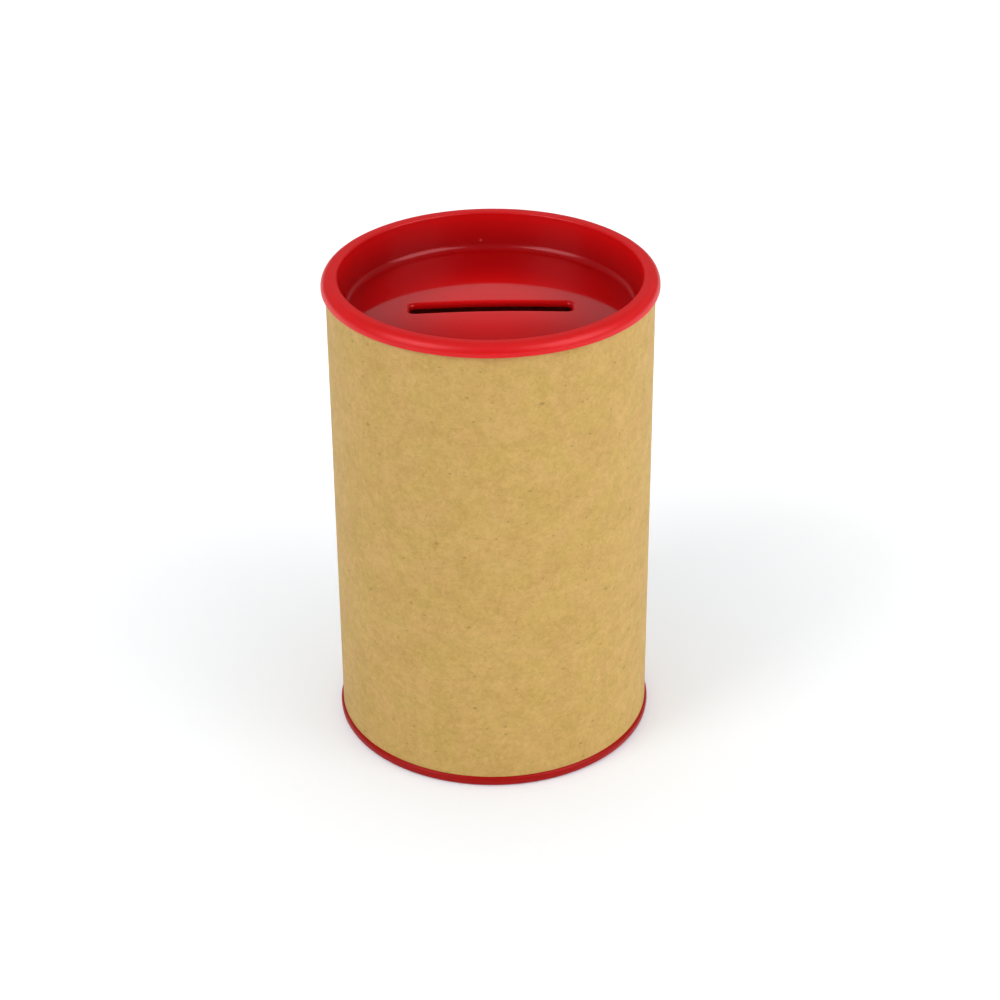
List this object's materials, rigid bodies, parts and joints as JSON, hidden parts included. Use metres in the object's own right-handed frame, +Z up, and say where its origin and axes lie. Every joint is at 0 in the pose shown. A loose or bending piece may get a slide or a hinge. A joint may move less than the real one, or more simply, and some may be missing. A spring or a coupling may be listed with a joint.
{
  "type": "donation box",
  "caption": "Round table-top donation box: a kraft-covered board tube with a glossy recessed lid that has a money slot and pulls off, and a glued base cap.",
  "frame": {"origin": "centre of the ring on the base cap that the box stands on", "axes": "+Z up along the tube's axis, +X along the length of the slot, -Y the front"},
  "size_m": [0.0782, 0.0782, 0.1174],
  "materials": {
    "red_plastic": "glossy moulded red plastic",
    "kraft_paper": "uncoated brown kraft paper with fine fibres",
    "grey_board": "plain grey-brown chipboard",
    "liner_paper": "plain unbleached liner paper"
  },
  "bodies": {
    "tube": {"kraft_wrap": "kraft_paper", "board_ply_outer": "grey_board", "board_ply_middle": "grey_board", "board_ply_inner": "grey_board", "inner_liner": "liner_paper", "base_cap": "red_plastic"},
    "lid": {"lid": "red_plastic"}
  },
  "joints": [
    {"name": "lid_lift", "type": "slide", "parent": "tube", "child": "lid", "axis": [0, 0, 1], "range_m": [0, 0.05]}
  ]
}
